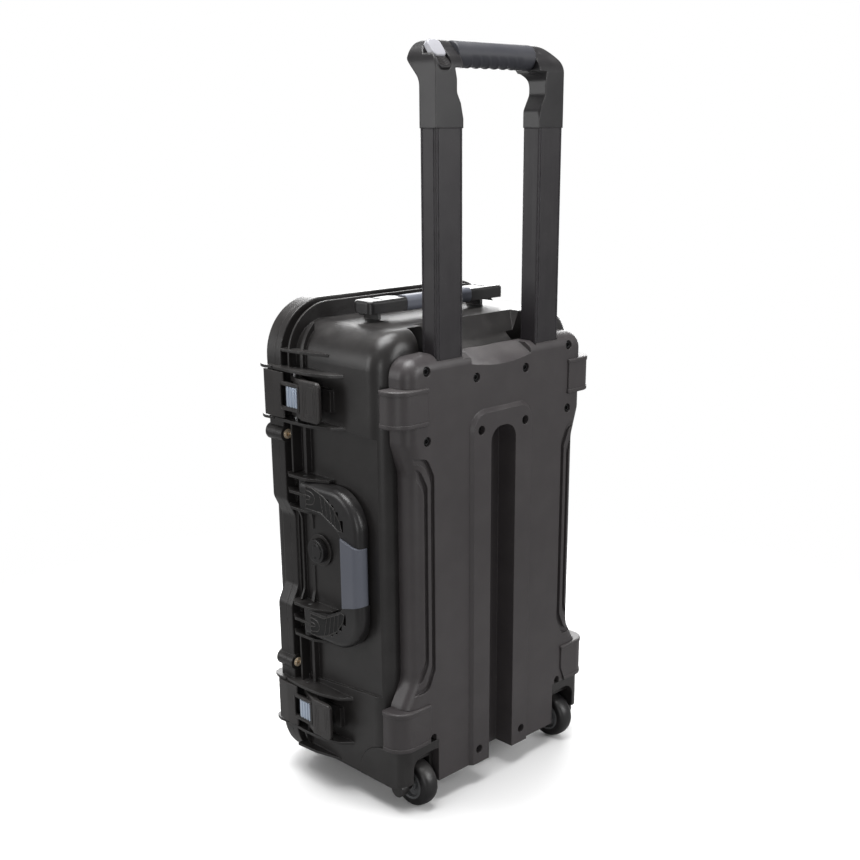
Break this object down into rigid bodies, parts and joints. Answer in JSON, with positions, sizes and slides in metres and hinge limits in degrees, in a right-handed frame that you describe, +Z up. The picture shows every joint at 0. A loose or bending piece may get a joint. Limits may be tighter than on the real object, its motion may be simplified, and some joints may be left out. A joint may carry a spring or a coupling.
{
  "type": "hard equipment case",
  "caption": "Rolling hard equipment case, standing upright with its trolley handle drawn out; hinged lid, draw latches, folding handles and wheels.",
  "frame": {"origin": "on the floor, at the middle of the footprint of the standing case", "axes": "+Z up through the trolley handle, +Y towards the lid, -X towards the latches"},
  "size_m": [0.352, 0.229, 0.8172],
  "materials": {
    "shell_black": "fine moulded texture",
    "panel_black": "fine moulded texture",
    "latch_black": "satin",
    "handle_black": "satin",
    "tube_anodised": "dark anodised",
    "arm_black": "satin",
    "grip_slate": "soft touch",
    "handle_slate": "soft touch",
    "button_grey": "satin",
    "lock_silver": "gloss",
    "eyelet_brass": "worn plating",
    "seal_rubber": "smooth",
    "foot_rubber": "smooth",
    "tyre_black": "satin",
    "hub_grey": "satin",
    "steel": "plated",
    "rod_metal": "mill finish",
    "screw_black": "black oxide"
  },
  "bodies": {
    "case": {"base_shell": "shell_black", "rear_panel": "panel_black", "panel_screws": "screw_black", "standing_feet": "foot_rubber", "upper_bumper_left": "panel_black", "upper_bumper_right": "panel_black", "lower_bumper_left": "panel_black", "lower_bumper_right": "panel_black", "wheel_housing_left": "shell_black", "wheel_housing_right": "shell_black", "axle_left": "steel", "axle_right": "steel", "trolley_sleeve_left": "rod_metal", "trolley_sleeve_right": "rod_metal", "hinge_pins": "steel", "upper_lever_pin": "steel", "lower_lever_pin": "steel", "side_handle_pins": "steel", "top_handle_pins": "steel", "valve_body": "latch_black", "base_eyelets": "eyelet_brass"},
    "lid": {"lid_shell": "shell_black", "lid_seal": "seal_rubber", "lid_eyelets": "eyelet_brass"},
    "wheel_l": {"tyre_left": "tyre_black", "wheel_hub_left": "hub_grey", "wheel_bearings_left": "steel"},
    "wheel_r": {"tyre_right": "tyre_black", "wheel_hub_right": "hub_grey", "wheel_bearings_right": "steel"},
    "trolley": {"trolley_tube_left": "tube_anodised", "trolley_tube_right": "tube_anodised", "trolley_arm_left": "arm_black", "trolley_arm_right": "arm_black", "trolley_bar": "rod_metal", "trolley_grip": "grip_slate"},
    "button": {"release_button": "button_grey"},
    "rods": {"push_rods": "rod_metal"},
    "pin_l": {"lock_pin_left": "steel"},
    "pin_r": {"lock_pin_right": "steel"},
    "lever_upper": {"upper_latch_lever": "latch_black", "upper_claw_pin": "steel"},
    "lever_lower": {"lower_latch_lever": "latch_black", "lower_claw_pin": "steel"},
    "claw_upper": {"upper_latch_claw": "latch_black"},
    "claw_lower": {"lower_latch_claw": "latch_black"},
    "slide_upper": {"upper_lock_slide": "lock_silver"},
    "slide_lower": {"lower_lock_slide": "lock_silver"},
    "side_handle": {"side_handle_frame": "handle_black", "side_handle_grip": "handle_slate"},
    "top_handle": {"top_handle_frame": "handle_black", "top_handle_grip": "handle_slate"},
    "valve": {"valve_knob": "latch_black"}
  },
  "joints": [
    {"name": "lid_hinge", "type": "hinge", "parent": "case", "child": "lid", "pos_m": [0.1707, 0.078, 0.276], "axis": [0, 0, 1], "range_deg": [-105, 0]},
    {"name": "upper_lever_pull", "type": "hinge", "parent": "case", "child": "lever_upper", "pos_m": [-0.161, 0.05, 0.461], "axis": [0, 0, 1], "range_deg": [-90, 0]},
    {"name": "upper_claw_swing", "type": "hinge", "parent": "lever_upper", "child": "claw_upper", "pos_m": [-0.1645, 0.038, 0.461], "axis": [0, 0, 1], "range_deg": [0, 90]},
    {"name": "upper_lock_slide", "type": "slide", "parent": "claw_upper", "child": "slide_upper", "axis": [0, 1, 0], "range_m": [0, 0.009]},
    {"name": "lower_lever_pull", "type": "hinge", "parent": "case", "child": "lever_lower", "pos_m": [-0.161, 0.05, 0.091], "axis": [0, 0, 1], "range_deg": [-90, 0]},
    {"name": "lower_claw_swing", "type": "hinge", "parent": "lever_lower", "child": "claw_lower", "pos_m": [-0.1645, 0.038, 0.091], "axis": [0, 0, 1], "range_deg": [0, 90]},
    {"name": "lower_lock_slide", "type": "slide", "parent": "claw_lower", "child": "slide_lower", "axis": [0, 1, 0], "range_m": [0, 0.009]},
    {"name": "side_handle_fold", "type": "hinge", "parent": "case", "child": "side_handle", "pos_m": [-0.159, 0.042, 0.276], "axis": [0, 0, 1], "range_deg": [-90, 0]},
    {"name": "top_handle_fold", "type": "hinge", "parent": "case", "child": "top_handle", "pos_m": [0, 0.012, 0.55], "axis": [1, 0, 0], "range_deg": [-90, 0]},
    {"name": "trolley_slide", "type": "slide", "parent": "case", "child": "trolley", "axis": [0, 0, 1], "range_m": [-0.272, 0]},
    {"name": "button_press", "type": "slide", "parent": "trolley", "child": "button", "axis": [0, 0.788, -0.6157], "range_m": [0, 0.003], "stiffness_N_per_m": 600, "springref_m": -0.003},
    {"name": "rod_travel", "type": "slide", "parent": "trolley", "child": "rods", "axis": [0, 0, -1], "range_m": [0, 0.003], "stiffness_N_per_m": 600, "springref_m": -0.003},
    {"name": "left_pin_travel", "type": "slide", "parent": "trolley", "child": "pin_l", "axis": [1, 0, 0], "range_m": [0, 0.0034], "stiffness_N_per_m": 300, "springref_m": -0.003},
    {"name": "right_pin_travel", "type": "slide", "parent": "trolley", "child": "pin_r", "axis": [-1, 0, 0], "range_m": [0, 0.0034], "stiffness_N_per_m": 300, "springref_m": -0.003},
    {"name": "valve_turn", "type": "hinge", "parent": "case", "child": "valve", "pos_m": [-0.156, 0.03, 0.286], "axis": [-1, 0, 0], "range_deg": [0, 90]},
    {"name": "left_wheel_spin", "type": "hinge", "parent": "case", "child": "wheel_l", "pos_m": [-0.1184, -0.0865, 0.028], "axis": [1, 0, 0], "continuous": true},
    {"name": "right_wheel_spin", "type": "hinge", "parent": "case", "child": "wheel_r", "pos_m": [0.1184, -0.0865, 0.028], "axis": [1, 0, 0], "continuous": true}
  ],
  "couplings": [
    {"joint": "upper_claw_swing", "follows": "upper_lever_pull", "ratio": -1},
    {"joint": "lower_claw_swing", "follows": "lower_lever_pull", "ratio": -1},
    {"joint": "rod_travel", "follows": "button_press", "ratio": 1},
    {"joint": "left_pin_travel", "follows": "button_press", "ratio": 1.13},
    {"joint": "right_pin_travel", "follows": "button_press", "ratio": 1.13}
  ]
}
